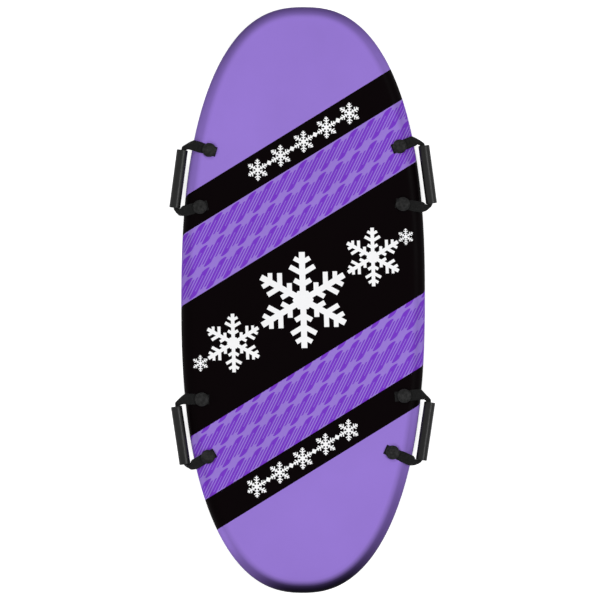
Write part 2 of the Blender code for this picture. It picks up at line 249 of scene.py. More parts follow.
def arc(middle_inset, middle_height, radius, start, end, steps):
    """Stations on an arc of the profile: angles are measured from straight out, upwards positive."""
    turns = np.linspace(start, end, steps + 1)
    return [
        (middle_inset - radius * math.cos(turn), middle_height + radius * math.sin(turn), 1.0)
        for turn in turns
    ]


def flat(inset, height, steps):
    """Stations from the edge of the flat to the middle of the board, without the first one."""
    return [(inset, height, share) for share in np.linspace(1.0, 0.0, steps + 1)[1:]]


def turned_points(profile, places, steps):
    """A profile of (radius, height) turned about upright axes: an array of place, station, step, xyz."""
    radius, height = np.array(profile).T[:, None, :, None]
    angle = np.arange(steps) / steps * 2 * math.pi
    places = np.array(places)[:, :, None, None]
    x = places[:, 0] + radius * np.cos(angle)
    y = places[:, 1] + radius * np.sin(angle)
    z = places[:, 2] + height + np.zeros_like(x)
    return np.stack(np.broadcast_arrays(x, y, z), axis=-1)


def cut_round_holes(target, places, radius, low, high):
    """Takes upright round holes out of a piece, from one height to another, for good."""
    points = turned_points([(radius, high), (radius, low)], places, HOLE_STEPS)
    faces = []
    for index in range(len(places)):
        start = index * 2 * HOLE_STEPS
        faces += grid_faces(2, HOLE_STEPS, start)
        faces.append(list(range(start, start + HOLE_STEPS)))
        faces.append(list(range(start + HOLE_STEPS, start + 2 * HOLE_STEPS)))
    cutter = make_piece(target.name + "_cutter", points.reshape(-1, 3).tolist(), faces)
    boolean = target.modifiers.new("holes", "BOOLEAN")
    boolean.operation = "DIFFERENCE"
    boolean.solver = "EXACT"
    boolean.object = cutter
    graph = bpy.context.evaluated_depsgraph_get()
    cut = bpy.data.meshes.new_from_object(target.evaluated_get(graph))
    target.modifiers.clear()
    target.data = cut
    bpy.data.objects.remove(cutter)
    cut.shade_smooth()
    cut.set_sharp_from_angle(angle=SHARP_ANGLE)


def find_by_halving(low, high, is_below):
    """For each point, the value between low and high where is_below turns from true to false."""
    for _ in range(HALVINGS):
        middle = (low + high) / 2
        below = is_below(middle)
        low, high = np.where(below, middle, low), np.where(below, high, middle)
    return low


def rail_inset_and_turn(x, y):
    """How far in from the board's edge each point lies, and which way the edge there faces.

    The inset is the i for which (|x| / (a - i))^n + (|y| / (b - i))^n is 1, found by halving.
    """
    n = np.where(y > 0, NOSE_SQUARENESS, TAIL_SQUARENESS)

    def half_sizes(inset):
        return BOARD_WIDTH / 2 - inset, BOARD_LENGTH / 2 - inset

    def is_inside(inset):
        a, b = half_sizes(inset)
        return (np.abs(x) / a) ** n + (np.abs(y) / b) ** n < 1

    inset = find_by_halving(np.zeros_like(x), np.full_like(x, BOARD_WIDTH / 2 * 0.999), is_inside)
    a, b = half_sizes(inset)
    across = np.sign(x) * (np.abs(x) / a) ** (n - 1) / a
    along = np.sign(y) * (np.abs(y) / b) ** (n - 1) / b
    return inset, np.arctan2(along, across)


def box_middle(node):
    """The middle of a CAD node's box."""
    low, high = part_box(node)
    return (low + high) / 2


caps = [node for node in frame["nodes"] if node.endswith("_cap")]
button_places = [(*box_middle(node).xy, 0.0) for node in caps]

rail_top = BOARD_THICKNESS - DECK_RAIL_RADIUS  # height where the rail's quarter circle meets the wall
outer = flat(DECK_RAIL_RADIUS, BOARD_THICKNESS, DECK_FLAT_STEPS)[::-1]
outer += arc(DECK_RAIL_RADIUS, rail_top, DECK_RAIL_RADIUS, math.pi / 2, 0.0, DECK_ARC_STEPS)
outer += [(0.0, height, 1.0) for height in np.linspace(
    rail_top, SEAM_HEIGHT + LIP_ROUND, DECK_WALL_STEPS + 1)[1:-1]]
lip = arc(LIP_ROUND, SEAM_HEIGHT + LIP_ROUND, LIP_ROUND, 0.0, -math.pi / 2, LIP_STEPS)
inner = [(DECK_SKIN_THICKNESS, SEAM_HEIGHT, 1.0)]
inner += arc(DECK_RAIL_RADIUS, rail_top, DECK_RAIL_RADIUS - DECK_SKIN_THICKNESS,
             0.0, math.pi / 2, DECK_INNER_ARC_STEPS)
inner += flat(DECK_RAIL_RADIUS, BOARD_THICKNESS - DECK_SKIN_THICKNESS, DECK_INNER_FLAT_STEPS)
deck = board_shell("printed_deck", outer + lip + inner)
cut_round_holes(deck, button_places, BARREL_HOLE_RADIUS, rail_top, BOARD_THICKNESS + CUT_OVERRUN)


def print_places(x, y, z, inset, facing):
    """Where each point of the deck lies on the print, with the rail's steep part unrolled.

    The print runs straight on, as seen from above, until the rail has turned down by the angle t.
    From there it follows the surface: r (asin(d / r) - t) over the rest of the quarter circle, with d
    the distance from above past the circle's start, and then down the straight wall. What that is
    longer than the distance from above is added outwards.
    """
    start = DECK_RAIL_RADIUS * math.sin(PRINT_TURN)
    past = (DECK_RAIL_RADIUS - inset).clip(start, DECK_RAIL_RADIUS)
    wall = (rail_top - (z - tip_curve(y))).clip(0)
    rolled = DECK_RAIL_RADIUS * (np.arcsin(past / DECK_RAIL_RADIUS) - PRINT_TURN)
    extra = rolled - (past - start) + wall
    return np.stack((x + extra * np.cos(facing), y + extra * np.sin(facing), np.zeros_like(x)), axis=1)


points = np.empty(len(deck.data.vertices) * 3)
deck.data.vertices.foreach_get("co", points)
points = points.reshape(-1, 3).T
inset, facing = rail_inset_and_turn(*points[:2])
deck.data.attributes.new("print_place", "FLOAT_VECTOR", "POINT").data.foreach_set(
    "vector", print_places(*points, inset, facing).ravel())
for name, values in (("rail_inset", inset), ("tail_facing", np.cos(facing - TAIL_PAINTED_SHADE_DIRECTION))):
    deck.data.attributes.new(name, "FLOAT", "POINT").data.foreach_set("value", values)


def math_node(tree, operation, *values, clamp=False):
    """One Math node's result."""
    made = add_node(tree, "ShaderNodeMath", dict(enumerate(values)),
                    operation=operation, use_clamp=clamp)
    return made.outputs[0]


def product(tree, first, second):
    """Two values multiplied."""
    return math_node(tree, "MULTIPLY", first, second)


def union(tree, *masks):
    """The largest of some masks: 1 where any of them is."""
    joined, *others = masks
    for mask in others:
        joined = math_node(tree, "MAXIMUM", joined, mask)
    return joined


def between(tree, value, low, high):
    """1 where a value lies between two limits, else 0."""
    return product(tree, math_node(tree, "GREATER_THAN", value, low),
                   math_node(tree, "LESS_THAN", value, high))


def centred(tree, value, period):
    """A value folded into one period about zero, from minus half to plus half a period."""
    return math_node(tree, "WRAP", value, period / 2, -period / 2)


def distance_mask(tree, along, across, half_length, half_width):
    """1 inside a stroke with round ends, laid along the first coordinate."""
    past = math_node(tree, "MAXIMUM", math_node(
        tree, "SUBTRACT", math_node(tree, "ABSOLUTE", along), half_length), 0.0)
    squared = math_node(tree, "ADD", product(tree, past, past), product(tree, across, across))
    return math_node(tree, "LESS_THAN", squared, half_width**2)


def map_range(tree, value, low, high, to_low=0.0, to_high=1.0, **settings):
    """A value spread from one span over another, held at both ends."""
    return add_node(tree, "ShaderNodeMapRange", {
        "Value": value, "From Min": low, "From Max": high, "To Min": to_low, "To Max": to_high},
        **settings).outputs[0]


def noise(tree, place, per_metre, detail):
    """Cloudy noise, mostly between 0.3 and 0.7, with about so many lumps to the metre."""
    return add_node(tree, "ShaderNodeTexNoise", {
        "Vector": place, "Scale": per_metre, "Detail": detail}).outputs["Fac"]


def start_group(name, inputs, output, kind="NodeSocketFloat"):
    """An empty shader node group; returns it, its input sockets by name and its output node."""
    group = bpy.data.node_groups.new(name, "ShaderNodeTree")
    for socket in inputs:
        group.interface.new_socket(socket, in_out="INPUT", socket_type=kind)
    group.interface.new_socket(output, in_out="OUTPUT", socket_type="NodeSocketFloat")
    return group, group.nodes.new("NodeGroupInput").outputs, group.nodes.new("NodeGroupOutput")


CRYSTAL_ARM_HALF_WIDTH = 0.062  # these three are in arm lengths
CRYSTAL_BRANCHES = (  # place on the arm, length, half width
    (0.32, 0.20, 0.052), (0.55, 0.30, 0.052), (0.78, 0.19, 0.048))
CRYSTAL_RING = (0.11, 0.19)


def snow_crystal_group():
    """A six-armed snow crystal about the origin, with arms of length 1.

    The angle is folded into one arm's half wedge. Along the arm p and across it q, the crystal is
    the union of the arm, three pairs of side branches at 60 degrees, and a hexagonal ring.
    """
    group, inputs, result = start_group("snow_crystal", ("Along", "Across"), "Mask")
    x, y = inputs["Along"], inputs["Across"]
    wedge = math_node(group, "ABSOLUTE", centred(group, math_node(group, "ARCTAN2", y, x), math.pi / 3))
    radius = math_node(group, "SQRT", math_node(
        group, "ADD", product(group, x, x), product(group, y, y)))
    p = product(group, radius, math_node(group, "COSINE", wedge))
    q = product(group, radius, math_node(group, "SINE", wedge))
    shapes = [product(group, math_node(group, "LESS_THAN", q, CRYSTAL_ARM_HALF_WIDTH),
                      math_node(group, "LESS_THAN", p, 1.0))]
    cosine, sine = 0.5, math.sin(math.pi / 3)
    for root, reach, half_width in CRYSTAL_BRANCHES:
        beyond = math_node(group, "SUBTRACT", p, root)
        along = math_node(group, "ADD", product(group, beyond, cosine), product(group, q, sine))
        across = math_node(group, "SUBTRACT", product(group, beyond, sine), product(group, q, cosine))
        thin = math_node(group, "LESS_THAN", math_node(group, "ABSOLUTE", across), half_width)
        shapes.append(product(group, thin, between(group, along, 0.0, reach)))
    feed(result, {"Mask": union(group, *shapes, between(group, p, *CRYSTAL_RING))})
    return group


def crystal(tree, along, across, radius):
    """The snow crystal's mask at a size, about the point where both coordinates are zero."""
    return add_node(tree, "ShaderNodeGroup", {
        "Along": math_node(tree, "DIVIDE", along, radius),
        "Across": math_node(tree, "DIVIDE", across, radius)}, node_tree=SNOW_CRYSTAL).outputs["Mask"]


SNOW_CRYSTAL = snow_crystal_group()
STROKE_PITCH = 0.034  # along the band
STROKE_LEAN = math.radians(32)  # from the band's own direction
STROKE_ROWS = 3
STROKES = (  # place in the pitch, half length along the stroke, half width
    (0.0, 0.0250, 0.0040),
    (0.0130, 0.0180, 0.0011),
    (-0.0130, 0.0180, 0.0011),
)
SLIT = (0.0150, 0.0005)  # half length and half width of the pale line in each broad stroke
CRYSTAL_ROW = ((0.0, 0.082), (0.140, 0.050), (0.206, 0.014))  # place from the middle, radius
SMALL_CRYSTAL_PITCH = 0.046
SMALL_CRYSTAL_RADIUS = 0.0185
CRYSTAL_ROW_HALF_LENGTH = 0.1102
DIAMOND_HALF_WIDTH = 0.0048

deck_finish, tree, shader = start_material("printed_deck_skin", roughness=0.45, specular=0.02)
place = add_node(tree, "ShaderNodeTexCoord").outputs["Object"]
on_print = add_node(tree, "ShaderNodeAttribute", attribute_name="print_place").outputs["Vector"]
turned = add_node(tree, "ShaderNodeVectorRotate", {"Vector": on_print, "Angle": -BAND_SLOPE},
                  rotation_type="Z_AXIS")
split = add_node(tree, "ShaderNodeSeparateXYZ", {0: turned.outputs[0]})
along, across = split.outputs["X"], split.outputs["Y"]
off_middle = math_node(tree, "ABSOLUTE", across)

row_height = (NARROW_BAND_INNER - CENTRAL_BAND[1]) / STROKE_ROWS
up_band = math_node(tree, "SUBTRACT", across, CENTRAL_BAND[1])
row = math_node(tree, "FLOOR", math_node(tree, "DIVIDE", up_band, row_height))
in_row = math_node(tree, "SUBTRACT", up_band, product(
    tree, math_node(tree, "ADD", row, 0.5), row_height))
shifted = math_node(tree, "ADD", along, product(tree, row, STROKE_PITCH / 2))
sheared = math_node(tree, "SUBTRACT", shifted, product(tree, in_row, 1 / math.tan(STROKE_LEAN)))
stroke_along = math_node(tree, "DIVIDE", in_row, math.sin(STROKE_LEAN))
strokes = []
for offset, half_length, half_width in STROKES:
    beside = centred(tree, math_node(tree, "SUBTRACT", sheared, offset), STROKE_PITCH)
    beside = product(tree, beside, math.sin(STROKE_LEAN))
    mask = distance_mask(tree, stroke_along, beside, half_length, half_width)
    if not strokes:
        mask = math_node(tree, "SUBTRACT", mask, distance_mask(tree, stroke_along, beside, *SLIT))
    strokes.append(mask)

mirrored = math_node(tree, "ABSOLUTE", along)
large = [
    crystal(tree, math_node(tree, "SUBTRACT", mirrored, spot) if spot else along, across, radius)
    for spot, radius in CRYSTAL_ROW
]
narrow_band_middle = (NARROW_BAND_INNER + NARROW_BAND_OUTER) / 2
in_narrow = math_node(tree, "SUBTRACT", off_middle, narrow_band_middle)
from_centreline = math_node(tree, "SUBTRACT", along, product(
    tree, math_node(tree, "SIGN", across), narrow_band_middle * math.tan(BAND_SLOPE)))
beside = centred(tree, from_centreline, SMALL_CRYSTAL_PITCH)
small = crystal(tree, beside, in_narrow, SMALL_CRYSTAL_RADIUS)
halfway = centred(tree, math_node(tree, "ADD", from_centreline, SMALL_CRYSTAL_PITCH / 2),
                  SMALL_CRYSTAL_PITCH)
diamond = math_node(tree, "LESS_THAN", math_node(
    tree, "ADD", math_node(tree, "ABSOLUTE", halfway), math_node(tree, "ABSOLUTE", in_narrow)),
    DIAMOND_HALF_WIDTH)
small = product(tree, union(tree, small, diamond), math_node(
    tree, "LESS_THAN", math_node(tree, "ABSOLUTE", from_centreline), CRYSTAL_ROW_HALF_LENGTH))

in_black = union(tree, between(tree, across, *CENTRAL_BAND),
                 between(tree, off_middle, NARROW_BAND_INNER, NARROW_BAND_OUTER))
in_pattern = math_node(tree, "LESS_THAN", off_middle, NARROW_BAND_INNER)
deck_colour = mix_colour(tree, product(tree, union(tree, *strokes), in_pattern), LIGHT_PURPLE, DARK_PURPLE)
deck_colour = mix_colour(tree, in_black, deck_colour, PRINT_BLACK)
deck_colour = mix_colour(tree, product(tree, union(tree, *large, small), in_black), deck_colour, PRINT_WHITE)

# Painted light and shade along the rail: how much of the print's colour is left, by the inset from the
# board's edge.
SIDE_PAINTED_LIGHT_AND_SHADE_STOPS = (  # inset in metres, how much of the colour is left: over 1 is painted light, paler than the print
    (0.000, 1.20), (0.005, 1.18), (0.009, 1.00), (0.013, 0.84), (0.018, 0.92), (0.022, 1.00))
NOSE_PAINTED_SHADE_STOPS = (
    (0.000, 0.36), (0.005, 0.42), (0.009, 0.51), (0.012, 0.62), (0.015, 0.81), (0.018, 0.95),
    (0.021, 1.00))
TAIL_SIDE_PAINTED_SHADE_STOPS = (
    (0.000, 0.62), (0.004, 0.65), (0.007, 0.55), (0.012, 0.56), (0.015, 0.74), (0.018, 0.86),
    (0.023, 1.00))
TAIL_PAINTED_SHADE_STOPS = (
    (0.000, 0.004), (0.004, 0.012), (0.007, 0.030), (0.010, 0.065), (0.012, 0.110), (0.015, 0.340),
    (0.018, 0.650), (0.022, 0.940), (0.028, 1.000))
PAINTED_SHADE_STEPS = (  # each painted shade's stops, and the tail_facing at which it starts and is full
    (NOSE_PAINTED_SHADE_STOPS, 0.10, -0.98), (TAIL_SIDE_PAINTED_SHADE_STOPS, 0.28, 0.54), (TAIL_PAINTED_SHADE_STOPS, 0.45, 0.98))
PAINTED_SHADE_REACH = 0.032


def painted_shade_ramp(tree, inset, stops):
    """The painted light and shade at each inset: how much of the print's colour is left, from a short
    table of stops.
    """
    share = math_node(tree, "DIVIDE", inset, PAINTED_SHADE_REACH, clamp=True)
    ramp = add_node(tree, "ShaderNodeValToRGB", {"Fac": share})
    elements = ramp.color_ramp.elements
    while len(elements) < len(stops):
        elements.new(0.5)
    for element, (at, left) in zip(elements, stops):
        element.position = at / PAINTED_SHADE_REACH
        element.color = (left, left, left, 1.0)
    return ramp.outputs["Color"]


# The painted shade and light along the rail, blended from the tables by which way the rail faces.
rail_inset = add_node(tree, "ShaderNodeAttribute", attribute_name="rail_inset").outputs["Fac"]
tail_facing = add_node(tree, "ShaderNodeAttribute", attribute_name="tail_facing").outputs["Fac"]
painted_shade = painted_shade_ramp(tree, rail_inset, SIDE_PAINTED_LIGHT_AND_SHADE_STOPS)
for stops, start, full in PAINTED_SHADE_STEPS:
    amount = map_range(tree, tail_facing, start, full, interpolation_type="SMOOTHSTEP")
    painted_shade = mix_colour(tree, amount, painted_shade, painted_shade_ramp(tree, rail_inset, stops))

FILM_GRAIN_PER_METRE = 1400.0
FILM_GRAIN_DEPTH = 0.00006
FILM_CLOUDS_PER_METRE = 9.0
CLOUD_RANGE = (0.3, 0.7)
CLOUD_TINT = (0.97, 1.03)
CLOUD_ROUGHNESS = (0.40, 0.50)
clouds = noise(tree, place, FILM_CLOUDS_PER_METRE, 4.0)
# The painted shade and light, and a random cloudy tint, multiplied into the print's colour.
for layer in (painted_shade, map_range(tree, clouds, *CLOUD_RANGE, *CLOUD_TINT)):
    deck_colour = mix_colour(tree, 1.0, deck_colour, layer, "MULTIPLY")
feed(shader, {"Base Color": deck_colour,
              "Roughness": map_range(tree, clouds, *CLOUD_RANGE, *CLOUD_ROUGHNESS)})
add_bump(tree, shader, noise(tree, place, FILM_GRAIN_PER_METRE, 2.0), FILM_GRAIN_DEPTH)
deck.data.materials.clear()
deck.data.materials.append(deck_finish)
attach(deck, "board")
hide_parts("deck_skin")


# Slick base: a sheet of hard polyethylene, 1.2 mm thick, that runs under the whole board and round
# the lower rail up to the seam. It is black, satin, and finely scratched lengthwise by use. Eight
# round holes take the flanges of the plugs.
BASE_RAIL_RADIUS = 0.014
BASE_SKIN_THICKNESS = 0.0012
BASE_LIP_ROUND = 0.0005
BASE_ARC_STEPS = 12
BASE_FLAT_STEPS = 30
BASE_INNER_STEPS = 15
FLANGE_HOLE_RADIUS = 0.0143
BASE_BLACK = (0.012, 0.012, 0.013, 1.0)
BASE_SCUFF = (0.040, 0.040, 0.042, 1.0)
BASE_ROUGHNESS = (0.28, 0.50)  # without a scratch and in one
SCRATCHES_PER_METRE = (900.0, 12.0, 900.0)  # along X, Y and Z
SCRATCH_CRESTS = (0.60, 0.72)
SCRATCH_DEPTH = 0.00003

outer = flat(BASE_RAIL_RADIUS, 0.0, BASE_FLAT_STEPS)[::-1]
outer += arc(BASE_RAIL_RADIUS, BASE_RAIL_RADIUS, BASE_RAIL_RADIUS, -math.pi / 2,
             -math.asin(BASE_LIP_ROUND / BASE_RAIL_RADIUS), BASE_ARC_STEPS)
lip = arc(BASE_LIP_ROUND, BASE_RAIL_RADIUS - BASE_LIP_ROUND, BASE_LIP_ROUND,
          0.0, math.pi / 2, LIP_STEPS)[1:]
inner = [(BASE_SKIN_THICKNESS, BASE_RAIL_RADIUS, 1.0)]
inner += arc(BASE_RAIL_RADIUS, BASE_RAIL_RADIUS, BASE_RAIL_RADIUS - BASE_SKIN_THICKNESS,
             0.0, -math.pi / 2, DECK_INNER_ARC_STEPS)[1:]
inner += flat(BASE_RAIL_RADIUS, BASE_SKIN_THICKNESS, BASE_INNER_STEPS)
base = board_shell("slick_bottom", outer + lip + inner)
cut_round_holes(base, button_places, FLANGE_HOLE_RADIUS, -CUT_OVERRUN, CUT_OVERRUN)


def scratches_group():
    """Fine straight scratches that run lengthwise: noise stretched along Y, cut to its thin crests."""
    group, inputs, result = start_group("lengthwise_scratches", ("Place",), "Mask", "NodeSocketVector")
    stretched = add_node(group, "ShaderNodeVectorMath", {
        0: inputs["Place"], 1: SCRATCHES_PER_METRE}, operation="MULTIPLY").outputs[0]
    feed(result, {"Mask": map_range(group, noise(group, stretched, 1.0, 3.0), *SCRATCH_CRESTS)})
    return group


SCRATCHES = scratches_group()
base_finish, tree, shader = start_material("slick_black_sheet", roughness=0.3, specular=0.3)
place = add_node(tree, "ShaderNodeTexCoord").outputs["Object"]
marks = add_node(tree, "ShaderNodeGroup", {"Place": place}, node_tree=SCRATCHES).outputs["Mask"]
feed(shader, {"Base Color": mix_colour(tree, marks, BASE_BLACK, BASE_SCUFF),
              "Roughness": map_range(tree, marks, 0.0, 1.0, *BASE_ROUGHNESS)})
add_bump(tree, shader, math_node(tree, "SUBTRACT", 1.0, marks), SCRATCH_DEPTH)
base.data.materials.clear()
base.data.materials.append(base_finish)
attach(base, "board")
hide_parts("slick_base")


# Plugs: eight flanged plugs of moulded black plastic, pressed up into the base. Each flange lies
# flush in its hole, and the barrel behind it reaches up through the foam and grips a button's stem.
PLUG_PROFILE = (  # radius, height above the flange's face, from the gate mark round to the bore
    (0.0, 0.0002), (0.0009, 0.0002), (0.0012, 0.0000), (0.0060, 0.0000), (0.0063, 0.0003),
    (0.0069, 0.0003), (0.0072, 0.0000), (0.0132, 0.0000), (0.0137, 0.0002), (0.0140, 0.0006),
    (0.0140, 0.0012), (0.0137, 0.0016), (0.0060, 0.0016), (0.0058, 0.0020), (0.0058, 0.0441),
    (0.0055, 0.0444), (0.0045, 0.0444), (0.0043, 0.0441), (0.0043, 0.0030), (0.0, 0.0030),
)
TURNED_STEPS = 64
BUTTON_BLACK = (0.0055, 0.0055, 0.0055, 1.0)
BUTTON_SCUFF = (0.0190, 0.0190, 0.0190, 1.0)
MOULD_GRAIN_PER_METRE = 2600.0
SCUFF_RANGE = (0.35, 0.65)
SCUFF_ROUGHNESS = 0.06  # more or less than the plastic's own


def turned_piece(name, profile, x, y, z):
    """A profile of (radius, height) turned about one upright axis, with both ends closed by a point."""
    rings = turned_points(profile[1:-1], [(x, y, z)], TURNED_STEPS)[0]
    return closed_rings(name, (x, y, z + profile[0][1]), rings, (x, y, z + profile[-1][1]))


def mould_grain_group():
    """The fine spark-eroded grain of a steel mould: two sizes of noise, put out as one height."""
    group, inputs, result = start_group("mould_grain", ("Place",), "Height", "NodeSocketVector")
    coarse = add_node(group, "ShaderNodeTexVoronoi", {
        "Vector": inputs["Place"], "Scale": MOULD_GRAIN_PER_METRE / 2}).outputs["Distance"]
    fine = noise(group, inputs["Place"], MOULD_GRAIN_PER_METRE, 2.0)
    feed(result, {"Height": math_node(group, "ADD", fine, coarse)})
    return group


MOULD_GRAIN = mould_grain_group()


def moulded_plastic(name, colour, pale_colour, scuffs_per_metre, roughness, specular, grain_depth):
    """Moulded plastic with mould grain, and with paler scuffs from handling."""
    made, tree, shader = start_material(name, roughness, specular)
    place = add_node(tree, "ShaderNodeTexCoord").outputs["Object"]
    scuffs = noise(tree, place, scuffs_per_metre, 3.0)
    feed(shader, {
        "Base Color": mix_colour(tree, map_range(tree, scuffs, *SCUFF_RANGE), colour, pale_colour),
        "Roughness": map_range(
            tree, scuffs, 0.0, 1.0, roughness - SCUFF_ROUGHNESS, roughness + SCUFF_ROUGHNESS)})
    grain = add_node(tree, "ShaderNodeGroup", {"Place": place}, node_tree=MOULD_GRAIN)
    add_bump(tree, shader, grain.outputs["Height"], grain_depth)
    return made


button_finish = moulded_plastic(
    "black_button_plastic", BUTTON_BLACK, BUTTON_SCUFF, scuffs_per_metre=230.0, roughness=0.42,
    specular=0.12, grain_depth=0.00003)
plugs = [node for node in frame["nodes"] if node.endswith("_plug")]
for node in plugs:
    plug = turned_piece(node.replace("_plug", "_base_plug"), PLUG_PROFILE,
                        *box_middle(node).xy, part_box(node)[0].z)
    plug.data.materials.append(button_finish)
    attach(plug, "board")
    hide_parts(node)


# Webbing: one length of black polypropylene webbing for each handle, 19 mm wide, woven in a fine
# herringbone and cut square with a hot knife. It is clamped under a button at each end, lies flat
# over the deck, and rolls up on its way into the grip.
STRAP_WIDTH = 0.019
STRAP_THICKNESS = 0.0020
SELVEDGE_ROUND = 0.0010
CURL_RADIUS = 0.0034
FLAT_CURL = math.radians(0.5)
GRIP_LENGTH = 0.100
GRIP_DIAMETER = 0.0190
GRIP_BORE = 0.0071
GRIP_DROP = 0.010
# The webbing's two edges in the grip's mouth, measured from the grip's axis towards the rail, and how
# far into the grip they are drawn
MOUTH_INNER = 0.0068
MOUTH_OUTER = -0.0020
MOUTH_DEPTH = 0.004
# The inner edge round the corner of the finger gap: where it starts and ends, to either side of the
# grip's flank, what is left of the corner there and at the mouth, and how far it flares at the mouth
CORNER_START = 0.0006
CORNER_END = 0.0012
CORNER_LEFT = 0.8
MOUTH_LEFT = 0.5
MOUTH_FLARE = 0.0003
# Each end of the webbing as it lies in the photo, in metres: how far the square end reaches past the
# button's centre, and then how far beyond the grip's end the webbing's middle lies where it leaves
# the deck, its inner edge at the corner of the finger gap, and its outer edge at three places
LEGS = {
    "front_left_outer": (0.0126, 0.0104, 0.0020, (0.0144, 0.0092, 0.0056)),
    "front_left_inner": (0.0139, 0.0034, -0.0027, (0.0125, 0.0075, 0.0024)),
    "front_right_outer": (0.0136, 0.0099, 0.0033, (0.0133, 0.0068, 0.0040)),
    "front_right_inner": (0.0127, 0.0043, -0.0007, (0.0109, 0.0066, 0.0017)),
    "rear_left_inner": (0.0127, 0.0107, 0.0018, (0.0148, 0.0101, 0.0067)),
    "rear_left_outer": (0.0138, 0.0025, -0.0043, (0.0115, 0.0059, 0.0016)),
    "rear_right_inner": (0.0164, 0.0114, 0.0031, (0.0132, 0.0079, 0.0049)),
    "rear_right_outer": (0.0141, 0.0036, -0.0010, (0.0103, 0.0066, 0.0015)),
}
LEAVING_PLACE = 0.0160  # of the middle that the table gives, from the grip's axis towards the rail
OUTER_PLACES = (0.0094, 0.0030, -0.0015)
FLANK_CLEARANCE = 0.0004
BEND_START = -0.003  # two distances from the hinge line outwards, where a span starts and ends
BEND_END = 0.009
STRAP_ACROSS_STEPS = 24
STRAP_STEPS = (24, 16, 12, 8, 8, 8, 8, 6)  # between one pair of edge points and the next
STRAP_SMOOTHING = 7  # sections that each corner of the edges is rounded over
STRAP_GRIP_STEPS = 24
WEBBING_BLACK = (0.0035, 0.0035, 0.0035, 1.0)
WEBBING_CREST = (0.0150, 0.0150, 0.0150, 1.0)
WEBBING_FUZZ_PER_METRE = 330.0
WEBBING_FUZZ_RANGE = (0.38, 0.62)
WEBBING_ROUGHNESS = (0.78, 0.92)
WARP_COLUMN = 0.0016
RIB_PITCH = 0.0011
WEAVE_DEPTH = 0.00025
WEAVE_SHARE = 0.4  # of the paler colour: painted light on the weave's crests; the fuzz gives the rest


def curl_for_width(width):
    """How far the webbing is rolled where it looks this wide from above.

    A roll of angle c is 2 (W / c + t / 2) sin(min(c, pi) / 2) wide, with W the webbing's width and t
    its thickness. That falls as c grows, so c is found by halving.
    """
    def is_wider(curl):
        radius = STRAP_WIDTH / curl + STRAP_THICKNESS / 2
        return 2 * radius * np.sin(np.minimum(curl, math.pi) / 2) > width

    return find_by_halving(np.full_like(width, FLAT_CURL),
                           np.full_like(width, STRAP_WIDTH / CURL_RADIUS), is_wider)


def rounded_line(knots):
    """STRAP_STEPS steps from each knot to the next, with the corners rounded by a running mean.

    Beyond both ends the line runs on as its own mirror image through the end point.
    """
    at = np.concatenate(([0], np.cumsum(STRAP_STEPS)))
    steps = np.arange(at[-1] + 1)
    line = np.stack([np.interp(steps, at, axis) for axis in knots.T], axis=1)
    spare = STRAP_SMOOTHING // 2
    padded = np.vstack((2 * line[0] - line[spare:0:-1], line, 2 * line[-1] - line[-2:-2 - spare:-1]))
    mean = np.full(STRAP_SMOOTHING, 1 / STRAP_SMOOTHING)
    return np.stack([np.convolve(axis, mean, "valid") for axis in padded.T], axis=1)


def leg_stations(hole, grip_x, grip_end, leg):
    """One leg's stations, from its square end into the grip, drawn as a leg towards +Y.

    Its inner and outer edge are drawn from above as two matched rows of points, rounded by a running
    mean, and each section stands upright on one pair of points. Each row of the result is the
    crown's middle (x, y, z), the heading, the curl and the run from the hinge line. The crown drops
    to the grip by a smooth step over the whole way from the hinge line.
    """
    reach, middle, corner, outer = leg
    leaving = np.array((grip_x - LEAVING_PLACE, grip_end + middle))
    ahead = (leaving - hole) / np.linalg.norm(leaving - hole)
    aside = STRAP_WIDTH / 2 * np.array((-ahead[1], ahead[0]))
    hinge = hole - hole[0] / ahead[0] * ahead
    straight = np.array((hole - reach * ahead, hinge, leaving))
    flank = GRIP_DIAMETER / 2 + FLANK_CLEARANCE
    clear = max(corner, FLANK_CLEARANCE)
    inner_edge = np.array((
        (flank + CORNER_START, corner), (flank, max(corner, corner / 4)),
        (flank - CORNER_END, CORNER_LEFT * clear), (MOUTH_INNER + MOUTH_FLARE, MOUTH_LEFT * clear),
        (MOUTH_INNER, 0.0), (MOUTH_INNER, -MOUTH_DEPTH)))
    first, second, third = np.column_stack((OUTER_PLACES, outer))
    outer_edge = np.array((
        first, (first + second) / 2, second, third, (MOUTH_OUTER, 0.0), (MOUTH_OUTER, -MOUTH_DEPTH)))
    grip_corner = np.array((grip_x, grip_end))
    inner, outer = (
        rounded_line(np.vstack((straight + side * aside, grip_corner + edge * (-1, 1))))
        for side, edge in ((-1, inner_edge), (1, outer_edge)))
    places = (inner + outer) / 2
    span = outer - inner
    heading = np.arctan2(-span[:, 0], span[:, 1])
    curl = curl_for_width(np.hypot(*span.T))
    run = np.concatenate(([0.0], np.cumsum(np.hypot(*np.diff(places, axis=0).T))))
    run -= run[STRAP_STEPS[0]]
    way = (run / run[-STRAP_STEPS[-1] - 1]).clip(0, 1)
    drop = (GRIP_DROP - CURL_RADIUS) * way**2 * (3 - 2 * way)
    return np.column_stack((places, -drop, heading, curl, run))


